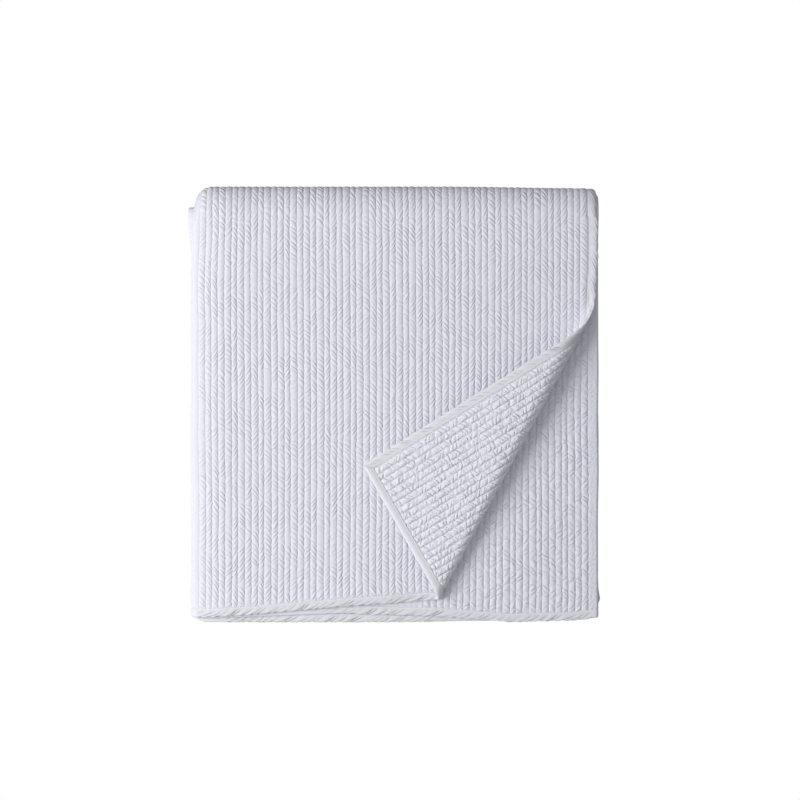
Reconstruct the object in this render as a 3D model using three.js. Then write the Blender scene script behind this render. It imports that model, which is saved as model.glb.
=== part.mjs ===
// A channel-quilted coverlet folded into a flat pile, with one corner of the top leaf turned back.
// Millimetres, +X to the right, +Y towards the folded end, +Z up, standing on z = 0.
import * as THREE from 'three';

// Cloth
const clothHalf = 1.5;      // half the thickness of the quilted cloth where layers press on each other
const crestHalf = 1.85;     // half the thickness at the top of a channel
const valleyHalf = 0.7;     // half the thickness at a stitch line
const channelPitch = 9;     // from one stitch line to the next
const channelUneven = 0.7;  // how far a stitch line strays from its even place
const plainByBend = 4;      // no channels stand up this near to a bend

// Binding strip, folded round every edge of the cloth
const bindingWidth = 11;
const bindingHalf = 1.65;
const slotHalf = 0.95;      // the slot that holds the cloth
const slotFloor = 1.7;      // from the outer edge to the bottom of the slot
const foldedOver = { flatFrom: 2, edgeHalf: 0.7 }; // the strip is rounded within 2 mm of its outer edge
const pieceGap = 0.3;
const mitreGap = pieceGap / Math.SQRT2;
const tuckHalf = slotHalf - 0.4; // half the thickness of the cloth inside the slot
const tuckEdge = slotFloor + pieceGap;
const tuckEnd = bindingWidth + pieceGap;
const quiltStart = tuckEnd + 1.3;
const stripEnd = bindingWidth + 2; // the mitred corners of a strip are within this of its ends

// Folding across: four leaves, one back-and-forth section
const leafPitch = 3.6;
const leafBend = leafPitch / 2;
const leaves = [
  { from: 276.2, to: -272.5 },
  { from: -272.5, to: 276.5 },
  { from: 276.5, to: -275 },
  { from: -275, to: 274 },
];
const topOffset = 1.5 * leafPitch; // of the first leaf from the middle of the four

// Folding along: the four leaves together go round in a spiral of four runs
const runPitch = 15;
const bottomHeight = topOffset + crestHalf; // the underside is pressed flat at the channels' tops
const topFold = { y: 257, reach: 32.6 };
const hemSideFold = { y: -273, reach: runPitch / 2 };
const innerFold = { y: 262, reach: runPitch / 2 };
const evenHem = -290;

// Where each leaf's hem lies, as a few points [x, y] along it. The leaves fan out unevenly, and two
// leaves meet in the same point where they share a bend.
const frontHems = [
  [[-276, -290], [-190, -284.8], [-75, -276.5], [58, -267.6], [277, -260.6]],
  [[-276, -290], [-255, -293.6], [-75, -286.2], [58, -290], [160, -295.6], [278, -291.6]],
  [[-277, -296], [14, -298], [160, -294], [278, -291.6]],
  [[-277, -296], [278, -289]],
];
const backHems = [
  [[-276, -288], [278, -289]],
  [[-276, -288], [278, -286.5]],
  [[-277, -290.5], [278, -286.5]],
  [[-277, -290.5], [278, -290]],
];

// The turned-back corner is a cone that rolls up about one point beyond the hem
const cone = { x: -75.2, y: -517.2, startAngle: 27.15 * Math.PI / 180 };
const roll = { under: 0.0198, over: 0.0247, land: 1.1, tip: 7 * Math.PI / 180 }; // bend per mm from the point
const landLift = 4.4;       // the turned cloth lies this far above the leaf below it
const liftSpread = 0.13;    // it rises to that within this angle
const reverseShows = 40;    // right of this x, the reverse and the second leaf have channels too
const cornerReach = 0.76;   // the share of the top run that the corner and the second leaf's channels take

// How the whole pile sags towards its sides
const leftSag = { from: -250, to: -280, share: 0.13 };
const rightSag = { from: 140, to: 280, share: 0.05 };
const hemSag = { from: -140, to: -290, share: 0.05 };
const boxShift = { x: -0.75, y: -0.33 };

const lerp = (a, b, t) => a + (b - a) * t;
const clamp = (value, low, high) => Math.min(Math.max(value, low), high);
const smooth = (t) => { const c = clamp(t, 0, 1); return c * c * (3 - 2 * c); };

function alongTable(table, x) {
  let k = 1;
  while (k < table.length - 1 && x > table[k][0]) k += 1;
  const [x0, y0] = table[k - 1];
  const [x1, y1] = table[k];
  return lerp(y0, y1, clamp((x - x0) / (x1 - x0), 0, 1));
}

// The section across the cloth: leaves and the bends between them, in order from the turned-back side
const across = [];
leaves.forEach((leaf, k) => {
  const offset = topOffset - k * leafPitch;
  across.push({ leaf: k, ...leaf, offset, length: Math.abs(leaf.to - leaf.from) });
  if (k < leaves.length - 1) {
    const side = Math.sign(leaf.to);
    across.push({ leaf: k, bend: true, x: leaf.to, offset, side, length: Math.PI * leafBend });
  }
});
let acrossLength = 0;
across.forEach((piece) => { piece.start = acrossLength; acrossLength += piece.length; });

function acrossAt(u) {
  let piece = across[0];
  across.forEach((next) => { if (u >= next.start) piece = next; });
  const d = u - piece.start;
  const faceUp = piece.leaf % 2 === 0 ? 1 : -1;
  if (!piece.bend) {
    const x = piece.from + Math.sign(piece.to - piece.from) * d;
    return { x, offset: piece.offset, nx: 0, no: faceUp, leaf: piece.leaf, blend: 0 };
  }
  const turn = d / leafBend;
  const nx = faceUp * piece.side * Math.sin(turn);
  const no = faceUp * Math.cos(turn);
  return {
    x: piece.x + piece.side * leafBend * Math.sin(turn),
    offset: piece.offset - leafBend + leafBend * Math.cos(turn),
    nx, no, leaf: piece.leaf, blend: turn / Math.PI,
  };
}

// The path along the cloth, in the plane of Y and Z: runs and the folds between them
const heights = [3, 2, 1, 0].map((level) => bottomHeight + level * runPitch);
const [topZ, innerZ, lowerZ, bottomZ] = heights;
const along = [
  { run: 'top', y0: evenHem, y1: topFold.y, z: topZ, dir: 1 },
  { fold: topFold, z: (topZ + bottomZ) / 2, rise: (topZ - bottomZ) / 2, dir: 1, up: 1 },
  { run: 'bottom', y0: topFold.y, y1: hemSideFold.y, z: bottomZ, dir: -1 },
  { fold: hemSideFold, z: (bottomZ + lowerZ) / 2, rise: runPitch / 2, dir: -1, up: -1 },
  { run: 'lower', y0: hemSideFold.y, y1: innerFold.y, z: lowerZ, dir: 1 },
  { fold: innerFold, z: (lowerZ + innerZ) / 2, rise: runPitch / 2, dir: 1, up: -1 },
  { run: 'inner', y0: innerFold.y, y1: evenHem, z: innerZ, dir: -1 },
];
let alongLength = 0;
along.forEach((piece) => {
  piece.start = alongLength;
  piece.length = piece.run ? Math.abs(piece.y1 - piece.y0) : Math.PI * (piece.fold.reach + piece.rise) / 2;
  alongLength += piece.length;
});
const [topRun, topBend, bottomRun, hemBend, lowerRun, innerBend, innerRun] = along;

function hemAt(hems, place) {
  const here = alongTable(hems[place.leaf], place.x);
  return place.blend ? lerp(here, alongTable(hems[place.leaf + 1], place.x), place.blend) : here;
}

function alongAt(s, place) {
  let piece = along[0];
  along.forEach((next) => { if (s >= next.start) piece = next; });
  const t = (s - piece.start) / piece.length;
  if (piece.run) {
    const from = piece === topRun ? hemAt(frontHems, place) : piece.y0;
    const to = piece === innerRun ? hemAt(backHems, place) : piece.y1;
    return { y: lerp(from, to, t), z: piece.z, ny: 0, nz: piece.dir, piece };
  }
  const a = Math.PI * t;
  const ny = piece.up * piece.rise * Math.sin(a);
  const nz = piece.dir * piece.fold.reach * Math.cos(a);
  const long = Math.hypot(ny, nz);
  return {
    y: piece.fold.y + piece.dir * piece.fold.reach * Math.sin(a),
    z: piece.z + piece.up * piece.rise * Math.cos(a),
    ny: ny / long, nz: nz / long, piece,
  };
}

// The roll of the turned-back corner at 1 mm from the cone's point: arcs and straight lengths
const tipDrop = roll.under + roll.over * Math.cos(roll.tip) - roll.land * (1 - Math.cos(roll.tip));
const rollPieces = [
  { length: roll.under * Math.PI / 2, bend: 1 / roll.under },
  { length: roll.over * (Math.PI / 2 + roll.tip), bend: 1 / roll.over },
  { length: tipDrop / Math.sin(roll.tip), bend: 0 },
  { length: roll.land * roll.tip, bend: -1 / roll.land },
  { length: Infinity, bend: 0 },
];

function rollAt(angle) {
  let left = angle;
  let out = 0;
  let rise = 0;
  let turn = 0;
  for (const piece of rollPieces) {
    const d = Math.min(left, piece.length);
    const next = turn + piece.bend * d;
    out += piece.bend ? (Math.sin(next) - Math.sin(turn)) / piece.bend : d * Math.cos(turn);
    rise += piece.bend ? (Math.cos(turn) - Math.cos(next)) / piece.bend : d * Math.sin(turn);
    turn = next;
    left -= d;
    if (left <= 0) break;
  }
  return { out, rise, turn };
}

function turnedBack(x, y, z, h) {
  const dx = x - cone.x;
  const dy = y - cone.y;
  const reach = Math.hypot(dx, dy);
  const past = Math.atan2(dx, dy) - cone.startAngle;
  if (past <= 0) return [x, y, z + h];
  const { out, rise, turn } = rollAt(past);
  const heading = cone.startAngle + out;
  const [sinH, cosH, sinE, cosE] = [Math.sin(heading), Math.cos(heading), Math.sin(rise), Math.cos(rise)];
  const [sinT, cosT] = [Math.sin(turn), Math.cos(turn)];
  const lift = landLift * smooth(past / liftSpread);
  return [
    cone.x + reach * cosE * sinH + h * (-sinT * cosH - cosT * sinE * sinH),
    cone.y + reach * cosE * cosH + h * (sinT * sinH - cosT * sinE * cosH),
    z + reach * sinE + h * cosT * cosE + lift,
  ];
}

function sagged([x, y, z]) {
  const kept = (sag, at) => 1 - sag.share * clamp((at - sag.from) / (sag.to - sag.from), 0, 1.2);
  return [x + boxShift.x, y + boxShift.y, z * kept(leftSag, x) * kept(rightSag, x) * kept(hemSag, y)];
}

// A point of the folded coverlet: u across the flat cloth, s along it, h out from its middle
function place(u, s, h) {
  const here = acrossAt(u);
  const path = alongAt(s, here);
  if (path.piece === topRun && here.leaf === 0 && !here.blend) {
    return sagged(turnedBack(here.x, path.y, path.z + here.offset, h));
  }
  const offset = here.offset + h * here.no;
  return sagged([here.x + h * here.nx, path.y + offset * path.ny, path.z + offset * path.nz]);
}

// Straight lines of the cone that the mesh follows, as angles past its start
const arcSteps = 3;
const straightSteps = 2;
const crossingTries = 30;
const lines = [];
let passed = 0;
rollPieces.slice(0, -1).forEach((piece) => {
  const steps = piece.bend > 0 ? arcSteps : straightSteps;
  for (let i = 0; i < steps; i += 1) lines.push(passed + piece.length * i / steps);
  passed += piece.length;
});
lines.push(passed);
const [firstLeaf, , secondLeaf] = across;

function lineCrossesColumn(angle, u) {
  const x = firstLeaf.from - u;
  const hem = alongTable(frontHems[0], x);
  const y = cone.y + (x - cone.x) / Math.tan(cone.startAngle + angle);
  return topRun.length * (y - hem) / (topRun.y1 - hem);
}

function lineCrossesRow(angle, s) {
  let x = 0;
  for (let i = 0; i < crossingTries; i += 1) {
    const y = lerp(alongTable(frontHems[0], x), topRun.y1, s / topRun.length);
    x = cone.x + (y - cone.y) * Math.tan(cone.startAngle + angle);
  }
  return firstLeaf.from - x;
}

// Mesh bookkeeping: points, triangles, and strips between two rows of points that share an order
class Skin {
  constructor() {
    this.points = [];
    this.triangles = [];
  }

  add(point) {
    this.points.push(...point);
    return this.points.length / 3 - 1;
  }

  strip(a, b, flip) {
    let i = 0;
    let j = 0;
    const face = (p, q, r) => this.triangles.push(...(flip ? [p, r, q] : [p, q, r]));
    while (i < a.length - 1 || j < b.length - 1) {
      const nextA = i < a.length - 1 ? a[i + 1].key : Infinity;
      const nextB = j < b.length - 1 ? b[j + 1].key : Infinity;
      const both = Math.abs(nextA - nextB) < 1e-6;
      if (both || nextA < nextB) {
        face(a[i].id, a[i + 1].id, b[j].id);
        i += 1;
      }
      if (both || nextB < nextA) {
        face(a[i].id, b[j + 1].id, b[j].id);
        j += 1;
      }
    }
  }

  strips(rows, flip) {
    for (let k = 1; k < rows.length; k += 1) this.strip(rows[k - 1], rows[k], flip);
  }

  mesh(name, color, roughness) {
    const geometry = new THREE.BufferGeometry();
    geometry.setAttribute('position', new THREE.Float32BufferAttribute(this.points, 3));
    geometry.setIndex(this.triangles);
    geometry.computeVertexNormals();
    const material = new THREE.MeshStandardMaterial({ color, roughness, metalness: 0 });
    const mesh = new THREE.Mesh(geometry, material);
    mesh.name = name;
    return mesh;
  }
}

const rounding = 0.1;       // places closer than this count as one
const evenly = (from, to, steps) => Array.from({ length: steps + 1 }, (_, i) => lerp(from, to, i / steps));
const stationsOf = (piece, steps) => evenly(piece.start, piece.start + piece.length, steps).slice(1);

// Rows along the cloth
const topRunSteps = 4;
const topBendSteps = 8;
const smallBendSteps = 5;
const quiltedRows = [
  ...stationsOf(topRun, topRunSteps),
  ...stationsOf(topBend, topBendSteps),
  ...stationsOf(bottomRun, 1),
  ...stationsOf(hemBend, smallBendSteps),
];
const hiddenRows = [
  ...stationsOf(lowerRun, 1),
  ...stationsOf(innerBend, smallBendSteps),
  innerRun.start + innerRun.length / 2,
];
const edgeRows = [quiltStart, tuckEnd, tuckEdge];

// Columns across the cloth
const leafBendSteps = 4;
const kneesOf = (leaf) => [leftSag, rightSag].map((sag) => leaf.start + Math.abs(sag.from - leaf.from));
const bendColumns = (bend) => evenly(bend.start, bend.start + bend.length, leafBendSteps);
const plainColumns = [
  tuckEdge, tuckEnd, quiltStart,
  ...across.flatMap((piece) => (piece.bend ? bendColumns(piece) : kneesOf(piece))),
  acrossLength - quiltStart, acrossLength - tuckEnd, acrossLength - tuckEdge,
].sort((a, b) => a - b);

// The stitch lines stray unevenly, except for the first, which lies along the binding
function stitchLine(i) {
  const strayed = i ? channelUneven * Math.sin(i * 2.4) * Math.cos(i * 0.7) : 0;
  return quiltStart + i * channelPitch + strayed;
}

// Stitch lines and channel tops between two places across the cloth, each with its half thickness
function channelColumns(from, to, crest) {
  const columns = [];
  for (let i = 0; stitchLine(i) <= to; i += 1) {
    if (stitchLine(i) >= from) {
      columns.push({ u: stitchLine(i), half: valleyHalf, channel: true });
      const middle = (stitchLine(i) + stitchLine(i + 1)) / 2;
      if (stitchLine(i + 1) <= to) columns.push({ u: middle, half: crest, channel: true });
    }
  }
  return columns;
}

function columnsWith(spans, crest) {
  const inSpan = (u) => spans.some(([from, to]) => u > from - 1 && u < to + 1);
  const plain = plainColumns.filter((u) => !inSpan(u)).map((u) => ({ u, half: clothHalf }));
  const channels = spans.flatMap(([from, to]) => channelColumns(from, to, crest));
  return [...plain, ...channels].sort((a, b) => a.u - b.u);
}

const bottomRunEnd = bottomRun.start + bottomRun.length;
const onUnderside = (s) => s > bottomRun.start - rounding && s < bottomRunEnd + rounding;

function halfAt(column, s) {
  const fromEdge = Math.min(column.u, acrossLength - column.u, s, alongLength - s);
  if (fromEdge < tuckEnd + rounding) return tuckHalf;
  return column.channel && onUnderside(s) ? crestHalf : column.half;
}

// Stations along one column: the rows, and on the turned corner the cone's own lines instead
const lineClear = 8;        // rows and columns keep this far from the start of the roll
const pointClear = 2;       // and points this far from each other
function stations(column, rows) {
  const onCorner = column.u < firstLeaf.length;
  const crossing = (angle, k) => ({ s: lineCrossesColumn(angle, column.u), key: lines.length - k });
  const crossed = lines.map(crossing);
  const rolled = crossed.filter(({ s }) => onCorner && s > quiltStart + pointClear).reverse();
  const top = rolled.length ? rolled[rolled.length - 1].s + lineClear : 0;
  const above = rows.map((s, k) => ({ s, key: lines.length + 1 + k })).filter(({ s }) => s > top);
  return [{ s: quiltStart, key: 0 }, ...rolled, ...above];
}

// The cone's lines that cross the front hem, and those that cross the right side, clear of the corner
const clearOfCorner = (crossing) => (angle) => crossing(angle, tuckEnd) > stripEnd + pointClear;
const hemLines = lines.filter(clearOfCorner(lineCrossesRow)).reverse();
const sideLines = lines.filter(clearOfCorner(lineCrossesColumn)).reverse();

// Places across one row of the hem band, following the cone's lines on the turned corner
function hemPlaces(s) {
  const flat = lineCrossesRow(lines[0], 0) + lineClear;
  const waves = frontHems[0].map(([x]) => firstLeaf.from - x);
  const beyond = [...waves.filter((u) => u < firstLeaf.length - lineClear), ...plainColumns];
  return [
    ...plainColumns.filter((u) => u < tuckEnd + rounding),
    ...hemLines.map((angle) => lineCrossesRow(angle, s)),
    ...beyond.filter((u) => u > flat).sort((a, b) => a - b),
  ];
}

// One face of the cloth: side is 1 for its front, whose channels stand higher, and -1 for its back
function clothFace(skin, side, spans, rows, restRows) {
  const at = (column, s, key) => {
    const point = place(column.u, s, side * halfAt(column, s));
    return { key, s, u: column.u, id: skin.add(point) };
  };
  const plain = (u, s, key) => at({ u, half: clothHalf }, s, key);
  const flip = side < 0;
  const crest = side > 0 ? crestHalf : clothHalf;
  const hem = [tuckEdge, tuckEnd].map((s) => hemPlaces(s).map((u, k) => plain(u, s, k)));
  const pointsAlong = (column) => stations(column, rows).map(({ s, key }) => at(column, s, key));
  const quilted = columnsWith(spans, crest).map(pointsAlong);
  const rest = plainColumns.map((u) => restRows.map((s) => plain(u, s, s)));
  const byU = (row) => row.map((p) => ({ ...p, key: p.u }));
  const bottomOf = (columns) => byU(columns.map((column) => column[0]));
  const topOf = (columns) => byU(columns.map((column) => column[column.length - 1]));
  skin.strip(hem[0], hem[1], !flip);
  skin.strip(byU(hem[1]), bottomOf(quilted), !flip);
  skin.strips(quilted, flip);
  skin.strip(topOf(quilted), bottomOf(rest), !flip);
  skin.strips(rest, flip);
  const edge = (pick) => [
    { key: tuckEdge, id: pick(hem[0]).id },
    { key: tuckEnd, id: pick(hem[1]).id },
    ...[...pick(quilted), ...pick(rest)].map(({ s, id }) => ({ key: s, id })),
  ];
  return {
    first: edge((list) => list[0]),
    last: edge((list) => list[list.length - 1]),
    front: hem[0],
    back: topOf(rest),
  };
}

function makeCloth() {
  const skin = new Skin();
  const backEdge = edgeRows.map((d) => alongLength - d);
  const topLeafSpan = [quiltStart, firstLeaf.length - plainByBend];
  const turnedSpan = [quiltStart, firstLeaf.from - reverseShows];
  const shownSpan = [
    secondLeaf.start + reverseShows - secondLeaf.from,
    secondLeaf.start + secondLeaf.length - plainByBend,
  ];
  const inReach = (s) => s < topRun.length * cornerReach;
  const cornerRows = quiltedRows.filter(inReach);
  const otherRows = quiltedRows.filter((s) => !inReach(s));
  const restRows = [...hiddenRows, ...backEdge];
  const front = clothFace(skin, 1, [topLeafSpan], quiltedRows, restRows);
  const back = clothFace(skin, -1, [turnedSpan, shownSpan], cornerRows, [...otherRows, ...restRows]);
  skin.strip(front.first, back.first, true);
  skin.strip(front.last, back.last, false);
  skin.strip(front.front, back.front, false);
  skin.strip(front.back, back.back, true);
  return skin.mesh('quilted_cloth', 0xd9d9e3, 0.9);
}

// The binding's section: d from the outer edge inwards, h out from the middle of the cloth
const bindingSection = [
  { d: bindingWidth, h: bindingHalf },
  { d: foldedOver.flatFrom, h: bindingHalf },
  { d: 0, h: foldedOver.edgeHalf },
  { d: 0, h: -foldedOver.edgeHalf },
  { d: foldedOver.flatFrom, h: -bindingHalf },
  { d: bindingWidth, h: -bindingHalf },
  { d: bindingWidth, h: -slotHalf },
  { d: slotFloor, h: -slotHalf },
  { d: slotFloor, h: slotHalf },
  { d: bindingWidth, h: slotHalf },
];

// One strip: at(t, d) gives [u, s] for a station t and a distance d from the outer edge. Its faces are
// cut into triangles the same way round as the cloth's, so that the slot stays parallel to the cloth.
function makeBinding(name, stationCount, at, flip, fromStart) {
  const skin = new Skin();
  const rows = bindingSection.map(({ d, h }) => Array.from({ length: stationCount }, (_, t) => {
    const [u, s] = at(t, d);
    return { key: t, id: skin.add(place(u, s, h)) };
  }));
  rows.forEach((row, k) => {
    const other = (k + 1) % rows.length;
    const inwards = bindingSection[other].d > bindingSection[k].d;
    if (inwards === fromStart) skin.strip(row, rows[other], flip);
    else skin.strip(rows[other], row, !flip);
  });
  const cap = (t, turned) => {
    const ids = rows.map((row) => row[t].id);
    const shape = bindingSection.map(({ d, h }) => new THREE.Vector2(d, h));
    THREE.ShapeUtils.triangulateShape(shape, []).forEach(([a, b, c]) => {
      skin.triangles.push(...(turned ? [ids[a], ids[c], ids[b]] : [ids[a], ids[b], ids[c]]));
    });
  };
  cap(0, flip);
  cap(stationCount - 1, !flip);
  return skin.mesh(name, 0xe4e5ea, 0.85);
}

// Keeps a station of a strip clear of the mitred corners at both its ends
const mitred = (value, d, length) => clamp(value, d + mitreGap, length - d - mitreGap);

function makeHemBinding(name, isFront) {
  const inner = (u) => u > stripEnd && u < acrossLength - stripEnd;
  const placesAt = (d) => (isFront ? hemPlaces(d) : plainColumns).filter(inner);
  const at = (t, d) => {
    const all = [0, stripEnd, ...placesAt(d), acrossLength - stripEnd, acrossLength];
    return [mitred(all[t], d, acrossLength), isFront ? d : alongLength - d];
  };
  return makeBinding(name, placesAt(0).length + 4, at, !isFront, isFront);
}

function makeSideBinding(name, isFirst) {
  const rolled = isFirst ? sideLines : [];
  const start = isFirst ? lineCrossesColumn(lines[0], 0) + lineClear : stripEnd;
  const rows = [...quiltedRows, ...hiddenRows].filter((s) => s > start);
  const at = (t, d) => {
    const onCorner = rolled.map((angle) => lineCrossesColumn(angle, d));
    const all = [0, stripEnd, ...onCorner, ...rows, alongLength - stripEnd, alongLength];
    return [isFirst ? d : acrossLength - d, mitred(all[t], d, alongLength)];
  };
  return makeBinding(name, rolled.length + rows.length + 4, at, isFirst, isFirst);
}

const coverlet = new THREE.Group();
coverlet.add(makeCloth());
coverlet.add(makeHemBinding('binding_front_hem', true));
coverlet.add(makeSideBinding('binding_right_side', true));
coverlet.add(makeHemBinding('binding_back_hem', false));
coverlet.add(makeSideBinding('binding_left_side', false));

export default coverlet;
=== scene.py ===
import math

import bpy
import numpy as np
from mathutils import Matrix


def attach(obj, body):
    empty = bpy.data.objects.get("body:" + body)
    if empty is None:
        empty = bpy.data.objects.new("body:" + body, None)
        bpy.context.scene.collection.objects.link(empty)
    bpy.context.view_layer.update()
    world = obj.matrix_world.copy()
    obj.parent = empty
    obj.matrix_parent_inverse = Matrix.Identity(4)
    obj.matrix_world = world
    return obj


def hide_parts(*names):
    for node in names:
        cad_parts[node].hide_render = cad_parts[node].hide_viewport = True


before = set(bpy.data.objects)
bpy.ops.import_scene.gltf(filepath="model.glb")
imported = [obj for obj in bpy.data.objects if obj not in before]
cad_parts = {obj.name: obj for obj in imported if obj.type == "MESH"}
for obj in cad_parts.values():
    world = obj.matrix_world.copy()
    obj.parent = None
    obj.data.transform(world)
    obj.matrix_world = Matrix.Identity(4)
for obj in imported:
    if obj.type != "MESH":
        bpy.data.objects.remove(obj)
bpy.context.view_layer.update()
millimetre = 0.001

# Cloth and binding, as in the solids
cloth = {
    "half": 1.5,
    "crest": 1.85,
    "valley": 0.7,
    "pitch": 9,
    "uneven": 0.7,
    "tuck": 0.55,
    "tuckEdge": 2.0,
    "tuckEnd": 11.3,
    "tuckRise": 4.5,
    "hemRise": 5,
    "quiltStart": 12.6,
    "plainByBend": 4,
    "pressedFrom": 12,
    "pressedPast": 4,
}
mitreGap = 0.3 / math.sqrt(2)
stripEnd = 13

# Four leaves across, one back-and-forth section
leafPitch = 3.6
leafBend = leafPitch / 2
leaves = [(276.2, -272.5), (-272.5, 276.5), (276.5, -275), (-275, 274)]
topOffset = 1.5 * leafPitch

# Four runs along, one inside the other, and the hems of each leaf as places in X and Y
runPitch = 15
bottomHeight = topOffset + cloth["crest"]
topFold = {"y": 257, "reach": 32.6}
hemSideFold = {"y": -273, "reach": runPitch / 2}
innerFold = {"y": 262, "reach": runPitch / 2}
evenHem = -290
frontHems = [
    [(-276, -291.4), (-248, -290.9), (-190, -287), (-75, -276.8), (58, -267.6), (277, -260.6)],
    [(-276, -290), (-255, -293.6), (-75, -286.2), (58, -290), (160, -297.8), (250, -295.6),
     (278, -292)],
    [(-277, -290.5), (-268, -295.5), (-259, -298.2), (14, -298), (160, -296), (278, -291.6)],
    [(-277, -290), (-266, -293), (-250, -296), (278, -289)],
]
backHems = [
    [(-276, -288), (278, -289)],
    [(-276, -288), (278, -286.5)],
    [(-277, -290.5), (278, -286.5)],
    [(-277, -290.5), (278, -290)],
]

# The turned-back corner is a cone that rolls up about one point beyond the hem
cone = {"x": -75.2, "y": -517.2, "start": math.radians(27.15)}
roll = {"under": 0.0198, "over": 0.0247, "land": 1.1, "tip": math.radians(7)}
landLift = 4.4
liftSpread = 0.13

# How the whole pile sags towards its sides: a share of the height, and how it grows
leftSag = {"from": -228, "to": -278, "share": 0.13, "power": 2}
rightSag = {"from": 140, "to": 280, "share": 0.035, "power": 1}
hemSag = {"from": -140, "to": -290, "share": 0.05, "power": 1}
foldSag = {"from": 205, "to": 288, "share": 0.13, "power": 2}

# The small unevenness of real folds. A pair named for x or y is the place of a change and the length
# over which it comes.
unevenTop = {"share": 0.008, "first": (71, 128), "phase": 0.6, "second": (93, 160)}
boxShift = (-0.75, -0.33)
edgeWave = {"x": (215, 60), "size": 0.7, "length": 190}
innerLeft = {"out": 2.2, "drawn": 6.6, "y": (195, 60)}
innerRight = {"out": 3.0, "hemY": (-264, 8), "drawn": 1.4, "y": (150, 60)}
foldCorner = {"y": (225, 70), "innerShare": 0.35, "left": (-249, 24, 1.0), "right": (262, 17, 0.4)}
foldDrawn = {"y": (150, 130), "x": (-110, 165), "power": 1.4, "size": 2.4}
topOut = {"x": (250, 20), "y": (155, 40), "size": 2.8}
foldOut = {"x": (60, 220), "y": (228, 60), "size": 2.3}
hemLift = {"to": 42, "x": (35, 50), "sizes": (3.0, 0.8, 0)}


def smooth(t):
    t = np.clip(t, 0, 1)
    return t * t * (3 - 2 * t)


def rising(value, start, over):
    # From 0 to 1, beginning at start
    return smooth((value - start) / over)


def falling(value, end, over):
    # From 1 to 0, done at end
    return smooth((end - value) / over)


scatter = {"index": 12.9898, "seed": 78.233, "size": 43758.5453}
waveParts = ((0.5, 1.0), (0.34, 0.618), (0.3, 1.73))


def scattered(index, seed):
    # An even spread of values from 0 to 1, one for each index
    turn = np.asarray(index, float) * scatter["index"] + seed * scatter["seed"]
    value = np.sin(turn) * scatter["size"]
    return value - np.floor(value)


def wavy(index, s, length, seed):
    # A smooth uneven wave along s, different for each index, from about -1 to 1
    total = 0
    for k, (size, scale) in enumerate(waveParts):
        phase = 2 * math.pi * scattered(index, seed + 3.1 * k)
        total = total + size * np.sin(2 * math.pi * s / (length * scale) + phase)
    return total


def makeAcross():
    pieces = []
    start = 0.0
    for k, (xFrom, xTo) in enumerate(leaves):
        flat = {"bend": False, "x": xFrom, "side": np.sign(xTo - xFrom), "length": abs(xTo - xFrom)}
        bend = {"bend": True, "x": xTo, "side": np.sign(xTo), "length": math.pi * leafBend}
        for piece in [flat, bend][: 1 if k == len(leaves) - 1 else 2]:
            pieces.append({**piece, "leaf": k, "offset": topOffset - k * leafPitch, "start": start})
            start += piece["length"]
    return pieces, start


across, acrossLength = makeAcross()
firstLeaf, firstBend, secondLeaf, secondBend, thirdLeaf = across[:5]


def acrossAt(u):
    # Place and direction in the section across the cloth
    x, offset, nx, no, blend = np.zeros((5, *u.shape))
    leaf = np.zeros(u.shape, int)
    for piece in across:
        here = (u >= piece["start"]) | (piece["start"] == 0)
        d = u[here] - piece["start"]
        faceUp = 1 if piece["leaf"] % 2 == 0 else -1
        leaf[here] = piece["leaf"]
        if piece["bend"]:
            turn = d / leafBend
            x[here] = piece["x"] + piece["side"] * leafBend * np.sin(turn)
            offset[here] = piece["offset"] - leafBend + leafBend * np.cos(turn)
            nx[here] = faceUp * piece["side"] * np.sin(turn)
            no[here] = faceUp * np.cos(turn)
            blend[here] = turn / math.pi
        else:
            x[here] = piece["x"] + piece["side"] * d
            offset[here] = piece["offset"]
            nx[here] = 0
            no[here] = faceUp
            blend[here] = 0
    return x, offset, nx, no, leaf, blend


def makeAlong():
    topZ, innerZ, lowerZ, bottomZ = [bottomHeight + level * runPitch for level in (3, 2, 1, 0)]
    small = runPitch / 2
    pieces = [
        {"name": "top", "y0": evenHem, "y1": topFold["y"], "z": topZ, "dir": 1},
        {"name": "topBend", "fold": topFold, "z": (topZ + bottomZ) / 2, "rise": (topZ - bottomZ) / 2,
         "dir": 1, "up": 1},
        {"name": "bottom", "y0": topFold["y"], "y1": hemSideFold["y"], "z": bottomZ, "dir": -1},
        {"name": "hemBend", "fold": hemSideFold, "z": (bottomZ + lowerZ) / 2, "rise": small,
         "dir": -1, "up": -1},
        {"name": "lower", "y0": hemSideFold["y"], "y1": innerFold["y"], "z": lowerZ, "dir": 1},
        {"name": "innerBend", "fold": innerFold, "z": (lowerZ + innerZ) / 2, "rise": small,
         "dir": 1, "up": -1},
        {"name": "inner", "y0": innerFold["y"], "y1": evenHem, "z": innerZ, "dir": -1},
    ]
    start = 0.0
    for piece in pieces:
        piece["start"] = start
        if "fold" in piece:
            piece["length"] = math.pi * (piece["fold"]["reach"] + piece["rise"]) / 2
        else:
            piece["length"] = abs(piece["y1"] - piece["y0"])
        start += piece["length"]
    return pieces, start


along, alongLength = makeAlong()
runs = {piece["name"]: piece for piece in along}


def endOf(name):
    return runs[name]["start"] + runs[name]["length"]


def hemAt(hems, x, leaf, blend):
    each = [np.interp(x, [p[0] for p in hem], [p[1] for p in hem]) for hem in hems]
    each = np.array(each + [each[-1]])
    here = np.take_along_axis(each, leaf[None], 0)[0]
    after = np.take_along_axis(each, leaf[None] + 1, 0)[0]
    return here + (after - here) * blend


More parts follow.
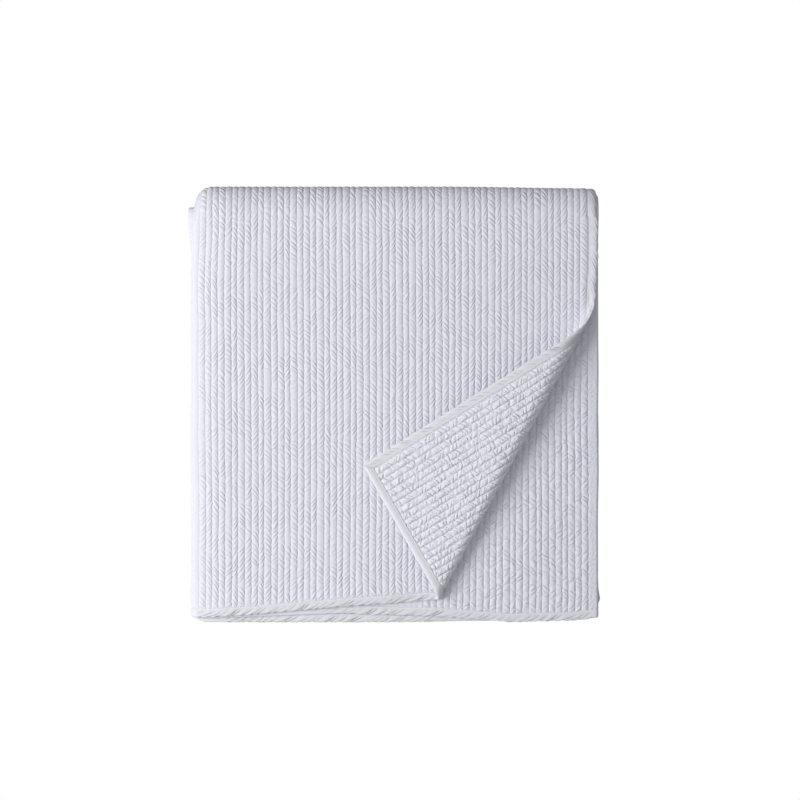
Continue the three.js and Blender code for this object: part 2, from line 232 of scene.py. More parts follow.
def alongAt(s, x, leaf, blend):
    # Place and direction along the cloth, in the plane of Y and Z
    y, z, ny, nz = np.zeros((4, *s.shape))
    for piece in along:
        here = (s >= piece["start"]) | (piece["start"] == 0)
        t = (s[here] - piece["start"]) / piece["length"]
        if "fold" in piece:
            a = math.pi * t
            reach = piece["fold"]["reach"]
            sideways = piece["up"] * piece["rise"] * np.sin(a)
            upwards = piece["dir"] * reach * np.cos(a)
            long = np.hypot(sideways, upwards)
            y[here] = piece["fold"]["y"] + piece["dir"] * reach * np.sin(a)
            z[here] = piece["z"] + piece["up"] * piece["rise"] * np.cos(a)
            ny[here] = sideways / long
            nz[here] = upwards / long
        else:
            y0 = piece["y0"]
            y1 = piece["y1"]
            if piece["name"] == "top":
                y0 = hemAt(frontHems, x[here], leaf[here], blend[here])
            if piece["name"] == "inner":
                y1 = hemAt(backHems, x[here], leaf[here], blend[here])
            y[here] = y0 + (y1 - y0) * t
            z[here] = piece["z"]
            ny[here] = 0
            nz[here] = piece["dir"]
    return y, z, ny, nz


def rollAt(angle):
    # The roll of the turned-back corner at 1 mm from the cone's point
    tip = roll["tip"]
    drop = roll["under"] + roll["over"] * math.cos(tip) - roll["land"] * (1 - math.cos(tip))
    steps = [
        (roll["under"] * math.pi / 2, 1 / roll["under"]),
        (roll["over"] * (math.pi / 2 + tip), 1 / roll["over"]),
        (drop / math.sin(tip), 0),
        (roll["land"] * tip, -1 / roll["land"]),
        (math.inf, 0),
    ]
    left = angle.copy()
    out, rise, turn = np.zeros((3, *angle.shape))
    for length, bend in steps:
        d = np.clip(left, 0, length)
        after = turn + bend * d
        if bend:
            out += (np.sin(after) - np.sin(turn)) / bend
            rise += (np.cos(turn) - np.cos(after)) / bend
        else:
            out += d * np.cos(turn)
            rise += d * np.sin(turn)
        turn = after
        left = left - d
    return out, rise, turn


def turnedBack(x, y, z, h):
    dx = x - cone["x"]
    dy = y - cone["y"]
    reach = np.hypot(dx, dy)
    past = np.arctan2(dx, dy) - cone["start"]
    out, rise, turn = rollAt(np.maximum(past, 0))
    heading = cone["start"] + out
    sinH, cosH = np.sin(heading), np.cos(heading)
    sinE, cosE = np.sin(rise), np.cos(rise)
    sinT, cosT = np.sin(turn), np.cos(turn)
    lift = landLift * smooth(past / liftSpread)
    turnedX = cone["x"] + reach * cosE * sinH + h * (-sinT * cosH - cosT * sinE * sinH)
    turnedY = cone["y"] + reach * cosE * cosH + h * (sinT * sinH - cosT * sinE * cosH)
    turnedZ = z + reach * sinE + h * cosT * cosE + lift
    flat = past <= 0
    return np.where(flat, x, turnedX), np.where(flat, y, turnedY), np.where(flat, z + h, turnedZ)


def turnAt(u, s):
    # How far round the roll a place in the top leaf is, in radians
    x = firstLeaf["x"] - u
    y0 = np.interp(x, [p[0] for p in frontHems[0]], [p[1] for p in frontHems[0]])
    y = y0 + (topFold["y"] - y0) * s / endOf("top")
    past = np.arctan2(x - cone["x"], y - cone["y"]) - cone["start"]
    onLeaf = (u < firstLeaf["length"]) & (s < endOf("top"))
    return np.where(onLeaf, rollAt(np.maximum(past, 0))[2], 0)


def kept(sag, at):
    # The share of the height that's left at a place
    share = np.clip((at - sag["from"]) / (sag["to"] - sag["from"]), 0, 1.2)
    return 1 - sag["share"] * share ** sag["power"]


def settled(x, y, z, inner):
    # The sags and slow waves of the pile's height, and the rounded ends of its big fold
    z = z * kept(leftSag, x) * kept(rightSag, x) * kept(hemSag, y) * kept(foldSag, y)
    (acrossA, alongA), (alongB, acrossB) = unevenTop["first"], unevenTop["second"]
    waves = np.sin(x / acrossA + y / alongA + unevenTop["phase"]) * np.sin(y / alongB - x / acrossB)
    z = z * (1 + unevenTop["share"] * waves)
    towards = rising(y, *foldCorner["y"]) * np.where(inner, foldCorner["innerShare"], 1)
    for name, outwards in (("left", -1), ("right", 1)):
        start, radius, share = foldCorner[name]
        past = np.clip(outwards * (x - start) / radius, 0, 0.99)
        y = y - share * radius * towards * (1 - np.sqrt(1 - past ** 2))
    return x + boxShift[0], y + boxShift[1], z


def sideWave(x, y, s, level):
    # How far the sides of the pile stray, a little differently at each level. The inner half of the
    # pile comes out furthest at the left end of its folded edge and at the right end of its hems.
    near = rising(np.abs(x), *edgeWave["x"])
    wave = edgeWave["size"] * wavy(level + 5 * np.sign(x), s, edgeWave["length"], 4.0)
    inner = s > endOf("bottom")
    atLeft = innerLeft["out"] - innerLeft["drawn"] * rising(y, *innerLeft["y"])
    hemY, hemOver = innerRight["hemY"]
    atRight = innerRight["out"] * np.exp(-((y - hemY) / hemOver) ** 2)
    atRight = atRight - innerRight["drawn"] * rising(y, *innerRight["y"])
    moved = near * (wave + np.where(inner, np.where(x < 0, atLeft, atRight), 0))
    # The big fold's left end is drawn in, and its channels lean with it
    start, over = foldDrawn["x"]
    drawn = rising(y, *foldDrawn["y"]) * np.clip((start - x) / over, 0, 1.05) ** foldDrawn["power"]
    return moved + np.where(inner, 0, foldDrawn["size"] * drawn)


def place(u, s, h):
    # Points of the folded coverlet: u across the flat cloth, s along it, h out from its middle
    u, s, h = np.broadcast_arrays(np.asarray(u, float), np.asarray(s, float), np.asarray(h, float))
    x, offset, nx, no, leaf, blend = acrossAt(u)
    y, z, ny, nz = alongAt(s, x, leaf, blend)
    turnable = (leaf == 0) & (blend == 0) & (s < endOf("top"))
    tx, ty, tz = turnedBack(x, y, z + offset, h)
    shifted = offset + h * no
    px = np.where(turnable, tx, x + h * nx)
    py = np.where(turnable, ty, y + shifted * ny)
    pz = np.where(turnable, tz, z + shifted * nz)
    level = np.floor((leaf + blend) / 2 + 0.25)
    atEdge = topOut["size"] * rising(y, *topOut["y"]) * rising(x, *topOut["x"])
    px = px + np.where(turnable & (x > 0), atEdge, sideWave(x, y, s, level))
    outer = np.where(s > endOf("bottom"), 0, foldOut["size"])
    py = py + outer * rising(y, *foldOut["y"]) * (1 - rising(x, *foldOut["x"]))
    # The hems of the upper leaves stand a little clear of each other
    byHem = np.clip(1 - s / hemLift["to"], 0, 1) ** 2
    byHem = byHem * np.where(turnable, falling(x, *hemLift["x"]), 1)
    pz = pz + byHem * np.interp(leaf + blend, (0, 1, 2), hemLift["sizes"])
    return np.stack(settled(px, py, pz, s > endOf("bottom")), axis=-1)


# Stitch lines and how they stray, which they do less beside the cloth's edges
stitching = {
    "common": 0.8,
    "commonLength": 118,
    "commonLines": 15,
    "wander": 0.4,
    "wanderLength": 96,
    "wiggle": 0.5,
    "wiggleLength": 9,
    "stray": 0.25,
    "calmLines": 3,
    "calmSide": (20, 30),
    "calmHem": (8, 30),
}

# The relief between the stitch lines, on the cloth's two faces
relief = {
    "pillow": 0.58,
    "swell": 0.1,
    "swellLength": 31,
    "front": {"crest": 1.95, "valley": 0.95, "pitch": 7.2, "slant": 1.35, "turns": 130, "depth": 0.42},
    "reverse": {"crest": 1.85, "valley": 0.7, "pitch": 8.4, "slant": 0.75, "turns": 50, "depth": 0.47},
    "crease": {"bulge": 0.3, "turn": 1.75, "over": 0.8, "clear": 0.2},
}

# The drag lines' lean, spacing and depth, which change along each channel
dragShape = {
    "turnOver": 4.5,
    "bias": 1.2,
    "leanLeast": 0.75,
    "leanMore": 0.5,
    "bow": 0.12,
    "drift": (0.25, 60),
    "spacing": ((0.13, 2.3, 7.0), (0.09, 3.7, 7.5)),
    "spacingPhase": 9,
    "reverseSpacing": 1.7,
    "depth": (0.88, 0.3, 53),
    "depthLimits": (0.45, 1.15),
    "uprightDepth": 0.4,
    "fullLean": 0.8,
}


def faceOf(side):
    return relief["front" if side > 0 else "reverse"]


def evenLine(i):
    i = np.asarray(i, float)
    stray = np.where(i > 0, cloth["uneven"] * np.sin(i * 2.4) * np.cos(i * 0.7), 0)
    return cloth["quiltStart"] + i * cloth["pitch"] + stray


def stitchLine(i, s):
    # The stitch lines wander a little along the cloth, but not beside its edges
    i = np.asarray(i, float)
    free = smooth(i / stitching["calmLines"])
    free = free * rising(acrossLength - evenLine(i), *stitching["calmSide"])
    common = np.sin(s / stitching["commonLength"] + i / stitching["commonLines"])
    own = stitching["wander"] * wavy(i, s, stitching["wanderLength"], 1.0)
    own = own + stitching["wiggle"] * wavy(i, s, stitching["wiggleLength"], 1.5)
    own = own + stitching["stray"] * (2 * scattered(i, 1.9) - 1)
    free = free * rising(s, *stitching["calmHem"])
    return evenLine(i) + free * (stitching["common"] * common + own)


def acrossOf(c, s):
    # The place across the flat cloth of a channel coordinate: whole numbers are stitch lines
    i = np.floor(c)
    t = c - i
    line = stitchLine(i, s)
    return line + t * (stitchLine(i + 1, s) - line)


def dragLines(i, t, s, side):
    # The drag lines that slant across channel i: how many have passed, and how deep they are
    face = faceOf(side)
    shape = dragShape
    bias = shape["bias"] * (scattered(i, 5.5) - 0.5)
    lean = np.tanh(shape["turnOver"] * wavy(i, s, face["turns"], 5.0 + side) + bias)
    slant = face["slant"] * lean * (shape["leanLeast"] + shape["leanMore"] * scattered(i, 6.5 + side))
    passed = s / face["pitch"] + slant * (t - 0.5) + shape["bow"] * slant * np.sin(math.pi * t)
    size, length = shape["drift"]
    passed = passed + size * wavy(i, s, length, 6.0 + side) + scattered(i, 9.5)
    uneven = 1.0 if side > 0 else shape["reverseSpacing"]
    for size, turns, seed in shape["spacing"]:
        phase = shape["spacingPhase"] * scattered(i, seed + side)
        passed = passed + size * uneven * np.sin(turns * passed + phase)
    middle, size, length = shape["depth"]
    depth = np.clip(middle + size * wavy(i, s, length, 8.0 + side), *shape["depthLimits"])
    if side > 0:
        upright = shape["uprightDepth"]
        depth = depth * (upright + (1 - upright) * smooth(np.abs(lean) / shape["fullLean"]))
    return passed, depth


def channelHalf(c, s, side):
    # Half the thickness of the quilted cloth, from one stitch line to the next
    i = np.floor(c)
    t = c - i
    pillow = np.sin(math.pi * t) ** relief["pillow"]
    swell = 1 + relief["swell"] * wavy(i, s, relief["swellLength"], 2.0 + side)
    passed, depth = dragLines(i, t, s, side)
    crease = np.cos(math.pi * passed) ** 2
    face = faceOf(side)
    low = face["valley"]
    return low + (face["crest"] - low) * pillow * swell * (1 - face["depth"] * depth * crease)


class Skin:
    # Points and faces of one closed piece, with each point's place in the flat cloth
    def __init__(self):
        self.points, self.lay, self.line = [], [], []
        self.quads, self.drag, self.triangles = [], [], []
        self.count = 0

    def grid(self, u, s, h, lay, line):
        # line holds the number of the stitch line that a point is on, and elsewhere -1
        points = place(u, s, h)
        ids = self.count + np.arange(line.size).reshape(line.shape)
        self.count += ids.size
        self.points.append(points.reshape(-1, 3))
        self.lay.append(np.stack(np.broadcast_arrays(*lay), axis=-1).reshape(-1, 3))
        self.line.append(line.astype(int).ravel())
        return ids

    def fill(self, ids, flip, own, end):
        # own holds the drag lines' values in the channel that a row starts, end in the one before it
        def corners(first, second):
            a, b, c, d = first[:-1, :-1], first[:-1, 1:], second[1:, 1:], second[1:, :-1]
            return [a, d, c, b] if flip else [a, b, c, d]

        self.quads.append(np.stack(corners(ids, ids), axis=-1).reshape(-1, 4))
        self.drag.append(np.stack(corners(own, end), axis=-2).reshape(-1, 3))

    def zip(self, a, aKeys, b, bKeys, flip):
        # Triangles between two rows of points whose keys rise along the same edge
        i = j = 0
        while i < len(a) - 1 or j < len(b) - 1:
            if j == len(b) - 1 or (i < len(a) - 1 and aKeys[i + 1] <= bKeys[j + 1]):
                self.add([(a[i], a[i + 1], b[j])], flip)
                i += 1
            else:
                self.add([(a[i], b[j + 1], b[j])], flip)
                j += 1

    def add(self, corners, flip):
        self.triangles += [(a, c, b) if flip else (a, b, c) for a, b, c in corners]


def makeObject(name, skin, material):
    points = np.concatenate(skin.points) * millimetre
    quads = np.concatenate(skin.quads)
    triangles = np.array(skin.triangles, int).reshape(-1, 3)
    mesh = bpy.data.meshes.new(name)
    mesh.vertices.add(len(points))
    mesh.vertices.foreach_set("co", points.ravel())
    corners = np.concatenate([quads.ravel(), triangles.ravel()])
    mesh.loops.add(len(corners))
    mesh.loops.foreach_set("vertex_index", corners)
    starts = np.concatenate([
        np.arange(len(quads)) * 4,
        len(quads) * 4 + np.arange(len(triangles)) * 3,
    ])
    totals = np.repeat([4, 3], [len(quads), len(triangles)])
    mesh.polygons.add(len(starts))
    mesh.polygons.foreach_set("loop_start", starts)
    mesh.polygons.foreach_set("loop_total", totals)
    mesh.polygons.foreach_set("use_smooth", totals == 4)
    mesh.update(calc_edges=True)
    lay = mesh.attributes.new("lay", "FLOAT_VECTOR", "POINT")
    lay.data.foreach_set("vector", np.concatenate(skin.lay).ravel())
    drag = mesh.attributes.new("drag", "FLOAT_VECTOR", "CORNER")
    atRims = np.zeros((3 * len(triangles), 3))
    drag.data.foreach_set("vector", np.concatenate(skin.drag + [atRims]).ravel())
    # Edges along a stitch line are sharp
    line = np.concatenate(skin.line)
    ends = np.zeros(2 * len(mesh.edges), int)
    mesh.edges.foreach_get("vertices", ends)
    ends = line[ends.reshape(-1, 2)]
    sharp = (ends[:, 0] >= 0) & (ends[:, 0] == ends[:, 1])
    mesh.edges.foreach_set("use_edge_sharp", sharp)
    mesh.materials.append(material)
    piece = bpy.data.objects.new(name, mesh)
    bpy.context.scene.collection.objects.link(piece)
    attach(piece, "root")
    print(name, 2 * len(quads) + len(triangles), "triangles")
    return piece


# Rows along the cloth and columns across it
detail = {
    "row": 1.5,
    "foldRow": 1.6,
    "hemFoldRow": 2,
    "columns": (0, 0.1, 0.28, 0.5, 0.72, 0.9),
    "coarseRow": 13,
    "coarseFoldRow": 4.5,
    "coarseHemFoldRow": 3,
    "innerFoldRow": 2.4,
    "coarseChannels": 2,
    "cornerRows": 405,
    "cornerGap": 8,
    "hiddenColumn": 24,
    "hiddenReach": 8,
    "leafEnd": 14,
    "restEnd": 20,
}
quiltEnd = endOf("hemBend")
bendStep = 0.95
besideBend = 3


def spread(start, end, step):
    count = max(1, round((end - start) / step))
    return np.linspace(start, end, count + 1)


def joined(*parts):
    return np.unique(np.round(np.concatenate([np.atleast_1d(p) for p in parts]), 5))


edgeRows = np.array([cloth["tuckEdge"], cloth["tuckEnd"], cloth["quiltStart"]])


def rowsBy(step, foldStep, hemFoldStep):
    return joined(
        edgeRows,
        spread(cloth["quiltStart"], endOf("top"), step),
        spread(endOf("top"), endOf("topBend"), foldStep),
        spread(endOf("topBend"), endOf("bottom"), detail["coarseRow"]),
        spread(endOf("bottom"), quiltEnd, hemFoldStep),
    )


fineRows = rowsBy(detail["row"], detail["foldRow"], detail["hemFoldRow"])
coarseRows = rowsBy(detail["coarseRow"], detail["coarseFoldRow"], detail["coarseHemFoldRow"])
cornerRows = joined(
    fineRows[fineRows < detail["cornerRows"]],
    coarseRows[coarseRows > detail["cornerRows"] + detail["cornerGap"]],
)
restRows = joined(
    spread(quiltEnd, endOf("lower"), detail["coarseRow"]),
    spread(endOf("lower"), endOf("innerBend"), detail["innerFoldRow"]),
    spread(endOf("innerBend"), alongLength - detail["restEnd"], detail["coarseRow"]),
    alongLength - edgeRows,
)


def onUnderside(s):
    # 1 where the channels are pressed flat against whatever the pile lies on
    before, after = cloth["pressedFrom"], cloth["pressedPast"]
    return rising(s, endOf("topBend") - before, before) * falling(s, endOf("bottom") + after, after)


def channelsOf(uFrom, uTo):
    # The first stitch line from one place across the cloth, and the last one before another
    first = max(0, math.ceil((uFrom - cloth["quiltStart"]) / cloth["pitch"]))
    last = math.floor((uTo - cloth["quiltStart"]) / cloth["pitch"])
    return first, last


def fineColumns(first, last):
    return [i + t for i in range(first, last) for t in detail["columns"]] + [last]


def coarseColumns(first, last):
    return [*range(first, last, detail["coarseChannels"]), last]


class Columns:
    # Columns of one face: channel coordinates where the cloth is quilted, plain places elsewhere
    def __init__(self):
        self.each = []

    def channels(self, coordinates):
        self.each += [(c, 0, 1) for c in coordinates]
        return self

    def plain(self, places):
        self.each += [((u - cloth["quiltStart"]) / cloth["pitch"], u, 0) for u in places]
        return self

    def grid(self, rows):
        c, plain, quilted = np.array(self.each, float).T[:, :, None] + np.zeros((1, len(rows)))
        s = rows + np.zeros_like(c)
        quilted = quilted > 0
        return np.where(quilted, acrossOf(c, s), plain), s, c, quilted


# How much of the reverse's crush, and of its painted light, the lower leaves have
lowerCrushAndLight = 0.35


def halfOn(u, s, c, quilted, side, pressed):
    # Half the thickness at each point of one face, tucked thin into the binding at the edges
    half = np.where(quilted, channelHalf(c, s, side), cloth["half"])
    lines = quilted & (c == np.floor(c))
    low = faceOf(side)["valley"]
    half = np.where(lines, low, half)
    if side < 0:
        # The channels of the reverse bulge where the turned corner bends most sharply
        crease = relief["crease"]
        bulge = crease["bulge"] * np.exp(-((turnAt(u, s) - crease["turn"]) / crease["over"]) ** 2)
        half = np.where(quilted, half + bulge * (half - low - crease["clear"]), half)
    if pressed:
        flat = onUnderside(s)
        half = half + flat * (np.where(quilted, cloth["crest"], cloth["half"]) - half)
    fromEdge = np.minimum(np.minimum(u, acrossLength - u), np.minimum(s, alongLength - s))
    tucked = 1 - rising(fromEdge, cloth["tuckEnd"], cloth["tuckRise"])
    byHem = np.minimum(s, alongLength - s) < cloth["tuckEnd"] + cloth["hemRise"]
    tucked = np.where(byHem | (fromEdge <= cloth["tuckEnd"]), tucked, 0)
    return half + tucked * (cloth["tuck"] - half)


def clothPiece(name, front, frontRows, back, backRows, isTop=True):
    # One closed piece of the cloth. front and back are its two faces' columns, with the same ends.
    # The reverse has the most crush on the top leaf, where it's turned up, and there it is also
    # painted lighter: painted light on the turned-back corner.
    crushAndLight = 1.0 if isTop else lowerCrushAndLight
    skin = Skin()
    faces = []
    for columns, rows, side in ((front, frontRows, 1), (back, backRows, -1)):
        u, s, c, quilted = columns.grid(rows)
        half = halfOn(u, s, c, quilted, side, isTop and side > 0)
        i = np.floor(c)
        onLine = quilted & (c == i)
        lay = (c, s / cloth["pitch"], side * crushAndLight)
        ids = skin.grid(u, s, side * half, lay, np.where(onLine, c * 2 + (side < 0), -1))
        drag = []
        for line, t in ((i, c - i), (np.where(onLine, i - 1, i), np.where(onLine, 1.0, c - i))):
            passed, depth = dragLines(line, t, s, side)
            drag.append(np.stack([passed, depth * quilted, np.zeros_like(c)], axis=-1))
        skin.fill(ids, side < 0, *drag)
        faces.append((ids, u, rows))
    (f, fu, fs), (b, bu, bs) = faces
    skin.zip(f[0], fs, b[0], bs, True)
    skin.zip(f[-1], fs, b[-1], bs, False)
    skin.zip(f[:, 0], fu[:, 0], b[:, 0], bu[:, 0], False)
    skin.zip(f[:, -1], fu[:, -1], b[:, -1], bu[:, -1], True)
    return makeObject(name, skin, quilt)


# Shader maths on sockets
def operation(kind, swapped=False):
    def act(self, *others):
        values = (*others, self) if swapped else (self, *others)
        return self.shader.math(kind, *values)

    return act


class Wire:
    def __init__(self, shader, socket):
        self.shader = shader
        self.socket = socket

    __add__ = operation("ADD")
    __radd__ = operation("ADD", True)
    __sub__ = operation("SUBTRACT")
    __rsub__ = operation("SUBTRACT", True)
    __mul__ = operation("MULTIPLY")
    __truediv__ = operation("DIVIDE")
    fract = operation("FRACT")
    abs = operation("ABSOLUTE")
    sin = operation("SINE")
    power = operation("POWER")
    atLeast = operation("MAXIMUM")
    above = operation("GREATER_THAN")

    def ramp(self, start, end):
        inputs = {"Value": self, "From Min": start, "From Max": end}
        return self.shader.node("ShaderNodeMapRange", inputs, interpolation_type="SMOOTHSTEP")


class Shader:
    def __init__(self, owner):
        # owner is a new material or world
        owner.use_nodes = True
        self.owner = owner
        self.tree = owner.node_tree
        self.tree.nodes.clear()

    def plug(self, socket, value):
        if isinstance(value, Wire):
            self.tree.links.new(value.socket, socket)
        else:
            socket.default_value = value

    def node(self, kind, inputs=None, output=0, **settings):
        node = self.tree.nodes.new(kind)
        for key, value in settings.items():
            setattr(node, key, value)
        for key, value in (inputs or {}).items():
            self.plug(node.inputs[key], value)
        return Wire(self, node.outputs[output])

    def math(self, kind, *values):
        return self.node("ShaderNodeMath", dict(enumerate(values)), operation=kind)

    def vector(self, x, y, z):
        return self.node("ShaderNodeCombineXYZ", {0: x, 1: y, 2: z})

    def attribute(self, name):
        # The three parts of a mesh's own vector
        vector = self.node("ShaderNodeAttribute", output="Vector", attribute_name=name)
        first = self.node("ShaderNodeSeparateXYZ", {0: vector})
        return [Wire(self, socket) for socket in first.socket.node.outputs]

    def noise(self, vector, scale, octaves=2.0, roughness=0.5):
        inputs = {"Vector": vector, "Scale": scale, "Detail": octaves, "Roughness": roughness}
        return self.node("ShaderNodeTexNoise", inputs)

    def mix(self, factor, a, b):
        # A mix node's colours go in at 6 and 7 and come out at 2
        node = self.tree.nodes.new("ShaderNodeMix")
        node.data_type = "RGBA"
        self.plug(node.inputs["Factor"], factor)
        self.plug(node.inputs[6], a)
        self.plug(node.inputs[7], b)
        return Wire(self, node.outputs[2])

    def bump(self, height, strength, distance, normal=None):
        inputs = {"Height": height, "Strength": strength, "Distance": distance}
        if normal:
            inputs["Normal"] = normal
        return self.node("ShaderNodeBump", inputs)

    def finish(self, surface, kind="ShaderNodeOutputMaterial"):
        self.plug(self.tree.nodes.new(kind).inputs["Surface"], surface)
        return self.owner


def shade(red, green, blue):
    # A colour as it is seen, turned into light
    return tuple([((v / 255 + 0.055) / 1.055) ** 2.4 for v in (red, green, blue)] + [1.0])


# Heights of bumps are in metres. A noise has its scale, for one channel or one millimetre, and then
# its octaves and its roughness.
cotton = {"Sheen Weight": 0.12, "Sheen Roughness": 0.6, "Specular IOR Level": 0.25}
threadTurn = 6.3
weaveHeight = 0.00006


def cottonMaterial(shader, color, crush, crisp, warp, fine, look):
    # Bumps of the crushed cloth, its drag lines and its weave
    normal = shader.bump(crush, look["crushStrength"], look["crushHeight"])
    normal = shader.bump(crisp, 1.0, look["dragHeight"], normal)
    normal = shader.bump(warp * 0.5 + fine, 0.5, weaveHeight, normal)
    least, more = look["rough"]
    inputs = {"Base Color": color, "Roughness": least + fine * more, "Normal": normal}
    return shader.finish(shader.node("ShaderNodeBsdfPrincipled", {**inputs, **cotton}))


quiltLook = {
    "face": shade(229, 229, 239),
    # The darker tone, used for painted shade in the valleys and creases and for random patches of tone
    "paintedShadeAndTone": shade(216, 216, 229),
    # The reverse's lighter colour is painted light: it brightens the turned-back corner, which the
    # light from the left falls on
    "reverse": shade(241, 241, 252),
    "reverseLightShare": 0.85,
    "thread": shade(236, 236, 242),
    "threadShare": 0.5,
    "crush": (2.3, 4.0, 0.62),
    "crinkle": (1.5, 2.0),
    "crinkleWidth": 0.09,
    "fine": (9.0, 2.0, 0.6),
    "patches": (0.11, 3.0),
    "crushStrength": 0.55,
    "crushHeight": 0.0009,
    "rough": (0.82, 0.14),
    "dragHeight": 0.0008,
    "dragPower": 0.7,
    "reversePower": 0.3,
    "reverseCrisp": 0.55,
    "reverseCrush": 0.5,
    "reverseCrinkle": 1.5,
    "line": (0.455, 0.49),
    # Where the painted shade towards each stitch line begins and where it is full, from a channel's
    # middle
    "valley": (0.3, 0.5),
    "stitches": 3.2,
    "stitchGap": 0.35,
}


def quiltMaterial():
    shader = Shader(bpy.data.materials.new("channel_quilted_cotton"))
    look = quiltLook
    c, s, side = shader.attribute("lay")
    passed, depth, _ = shader.attribute("drag")
    t = c.fract()
    dome = (t * math.pi).sin().atLeast(0.0)
    reverse = (0 - side).atLeast(0.0)
    # The drag lines that the mesh has too, made crisp
    power = look["dragPower"] - reverse * look["reversePower"]
    crisp = (passed * math.pi).sin().abs().power(power) * depth * dome.power(0.5)
    crisp = crisp * (1 + reverse * look["reverseCrisp"])
    # Threads of the plain weave, and the soft crushing of washed cotton
    warp = (c * cloth["pitch"] * threadTurn).sin() * (s * cloth["pitch"] * threadTurn).sin()
    spot = shader.vector(c, s, side)
    fine = shader.noise(spot, *look["fine"])
    crush = shader.noise(spot, *look["crush"])
    crinkle = shader.noise(shader.vector(c, s, side + 3.0), *look["crinkle"])
    crinkle = (crinkle - 0.5).abs().ramp(0.0, look["crinkleWidth"])
    crush = crush * (1 + reverse * look["reverseCrush"]) + crinkle * reverse * look["reverseCrinkle"]
    # The stitch line shows as a row of thread sunk between the channels
    toLine = (t - 0.5).abs()
    stitch = toLine.ramp(*look["line"]) * (s * look["stitches"]).fract().above(look["stitchGap"])
    # Each channel is painted darker towards its stitch lines, which is painted shade in the valleys;
    # random patches of tone are mixed in with it
    valley = toLine.ramp(*look["valley"])
    patches = shader.noise(spot, *look["patches"])
    # The top leaf's reverse, which shows in the turned-back corner, is painted lighter: painted light
    face = shader.mix(reverse.ramp(0.3, 1.0) * look["reverseLightShare"], look["face"], look["reverse"])
    color = shader.mix(valley * 0.5 + (patches - 0.5) * 0.5, face, look["paintedShadeAndTone"])
    color = shader.mix(fine.ramp(0.2, 0.8) * 0.12, color, look["paintedShadeAndTone"])
    color = shader.mix(stitch * look["threadShare"], color, look["thread"])
    return cottonMaterial(shader, color, crush, crisp, warp, fine, look)


bindingLook = {
    "face": shade(232, 233, 239),
    # The darker tone: painted shade in the drag lines' creases and along the sunk stitch line, and
    # random patches of tone
    "paintedShadeAndTone": shade(196, 197, 208),
    "patchShare": 0.2,
    "lineShadeShare": 0.15,
    "creaseShadeShare": 0.7,
    "thread": shade(246, 246, 248),
    "threadShare": 0.75,
    "crush": (1.0, 4.0, 0.6),
    "crushScale": 0.16,
    "fine": (1.3, 2.0, 0.6),
    "patchScale": (0.02, 0.05),
    "crushStrength": 0.5,
    "crushHeight": 0.0005,
    "rough": (0.8, 0.14),
    "dragHeight": 0.0012,
    "dragPower": 0.8,
    "stitchLine": 9.6,
    "lineWidth": (0.15, 0.4),
    "stitchLength": 2.6,
    "stitchGap": 0.28,
}


def bindingMaterial():
    shader = Shader(bpy.data.materials.new("bias_binding_cotton"))
    look = bindingLook
    d, t, side = shader.attribute("lay")
    passed, depth, _ = shader.attribute("drag")
    fold = (passed * math.pi).sin().abs()
    crisp = fold.power(look["dragPower"]) * depth
    # Painted shade in the drag lines' creases
    crease = (1 - fold.ramp(0.0, 0.5)) * depth
    scale = look["crushScale"]
    crush = shader.noise(shader.vector(t * scale, d * scale, side), *look["crush"])
    fine = shader.noise(shader.vector(t, d, side), *look["fine"])
    warp = ((t + d) * threadTurn).sin() * ((t - d) * threadTurn).sin()
    onLine = 1 - (d - look["stitchLine"]).abs().ramp(*look["lineWidth"])
    stitch = onLine * (t / look["stitchLength"]).fract().above(look["stitchGap"])
    alongScale, acrossScale = look["patchScale"]
    patches = shader.noise(shader.vector(t * alongScale, d * acrossScale, side), 1.0)
    # The strip is painted darker along its sunk stitch line and in its creases, which is painted
    # shade, and in random patches of tone
    shadeAndPatches = patches * look["patchShare"] + onLine * look["lineShadeShare"] + crease * look["creaseShadeShare"]
    color = shader.mix(shadeAndPatches, look["face"], look["paintedShadeAndTone"])
    color = shader.mix(stitch * look["threadShare"], color, look["thread"])
    return cottonMaterial(shader, color, crush, crisp, warp, fine, look)


quilt = quiltMaterial()
binding = bindingMaterial()


def bendColumns(start, end):
    # Plain columns round a fold at one side, and on into the next leaf
    return joined(start - 1.5, spread(start, end, 0.7), end + detail["hiddenReach"])


def declare():
    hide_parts("quilted_cloth")


# The top leaf: strips that meet in stitch lines, from the front hem round the pile to the fold
# beside the hems. The reverse of the first ones shows in the turned-back corner.
topLast = channelsOf(0, firstLeaf["length"] - cloth["plainByBend"])[1]
turnedLast = 26
stripBreaks = [0, 13, turnedLast, 37, 48, topLast]
firstTail = bendColumns(firstBend["start"], secondLeaf["start"])


def topStrip(number, first, last):
    head = [cloth["tuckEdge"], cloth["tuckEnd"]] if first == 0 else []
    tail = list(firstTail) if last == topLast else []
    turned = last <= turnedLast
    rows = cornerRows if turned else coarseRows
    fine = fineColumns(first, last)
    reverse = fine if turned else coarseColumns(first, last)
    fronts, backs = [Columns().plain(head).channels(c).plain(tail) for c in (fine, reverse)]
    piece = clothPiece(f"quilted_cloth_top_{number}", fronts, fineRows, backs, rows)
    declare()


for k in range(len(stripBreaks) - 1):
    topStrip(k + 1, stripBreaks[k], stripBreaks[k + 1])
print("top leaf done")


# The second leaf, whose reverse shows beside the turned-back corner
shownFrom = 40
secondTail = bendColumns(secondBend["start"], thirdLeaf["start"])


